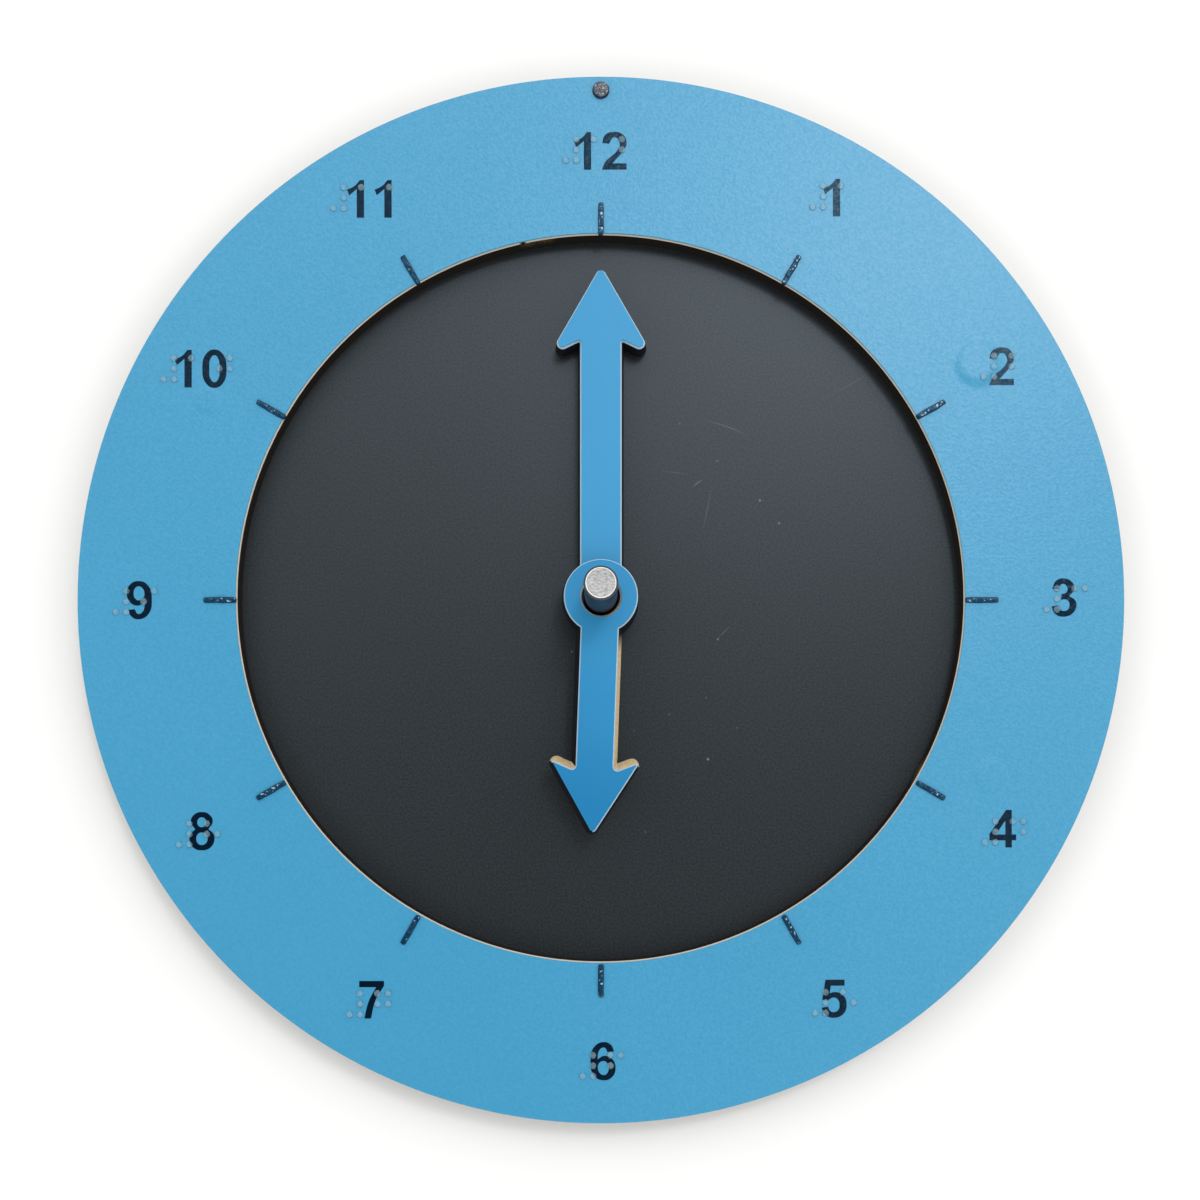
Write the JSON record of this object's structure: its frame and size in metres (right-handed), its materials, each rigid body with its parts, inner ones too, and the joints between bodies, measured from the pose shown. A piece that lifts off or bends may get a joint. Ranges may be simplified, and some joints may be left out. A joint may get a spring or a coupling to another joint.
{
  "type": "tactile teaching clock",
  "caption": "Round tactile teaching clock: blue dial ring with numerals, braille beads and raised hour marks round a black board, with loose arrow hands turning on a metal post.",
  "frame": {"origin": "on the post's axis, at the back face of the board, which the clock lies on", "axes": "+Z out of the dial towards the reader, +Y towards twelve o'clock, +X towards three o'clock"},
  "size_m": [0.23, 0.23, 0.0305],
  "materials": {
    "fibreboard": "cut edge, scorched brown, matt",
    "hand_core": "cut edge, matt",
    "black_sheet": "matt",
    "blue_film": "satin, fine orange peel",
    "hand_film": "satin",
    "post_metal": "turned, sawn end",
    "screw_steel": "zinc plated",
    "washer_nylon": "black nylon",
    "braille_resin": "clear dome",
    "mark_resin": "dark blue, glossy"
  },
  "bodies": {
    "dial": {"back_board": "fibreboard", "board_face": "black_sheet", "dial_ring": "fibreboard", "dial_face": "blue_film", "top_dot": "mark_resin", "centre_post": "post_metal", "post_screw": "screw_steel", "lower_washer": "washer_nylon", "upper_washer": "washer_nylon", "braille_1": "braille_resin", "braille_2": "braille_resin", "braille_3": "braille_resin", "braille_4": "braille_resin", "braille_5": "braille_resin", "braille_6": "braille_resin", "braille_7": "braille_resin", "braille_8": "braille_resin", "braille_9": "braille_resin", "braille_10": "braille_resin", "braille_11": "braille_resin", "braille_12": "braille_resin", "hour_mark_1": "mark_resin", "hour_mark_2": "mark_resin", "hour_mark_3": "mark_resin", "hour_mark_4": "mark_resin", "hour_mark_5": "mark_resin", "hour_mark_6": "mark_resin", "hour_mark_7": "mark_resin", "hour_mark_8": "mark_resin", "hour_mark_9": "mark_resin", "hour_mark_10": "mark_resin", "hour_mark_11": "mark_resin", "hour_mark_12": "mark_resin"},
    "minute_hand": {"minute_hand": "hand_core", "minute_hand_face": "hand_film"},
    "hour_hand": {"hour_hand": "hand_core", "hour_hand_face": "hand_film"}
  },
  "joints": [
    {"name": "minute_turn", "type": "hinge", "parent": "dial", "child": "minute_hand", "pos_m": [0, 0, 0.0075], "axis": [0, 0, -1], "continuous": true},
    {"name": "hour_turn", "type": "hinge", "parent": "dial", "child": "hour_hand", "pos_m": [0, 0, 0.0125], "axis": [0, 0, -1], "continuous": true}
  ]
}
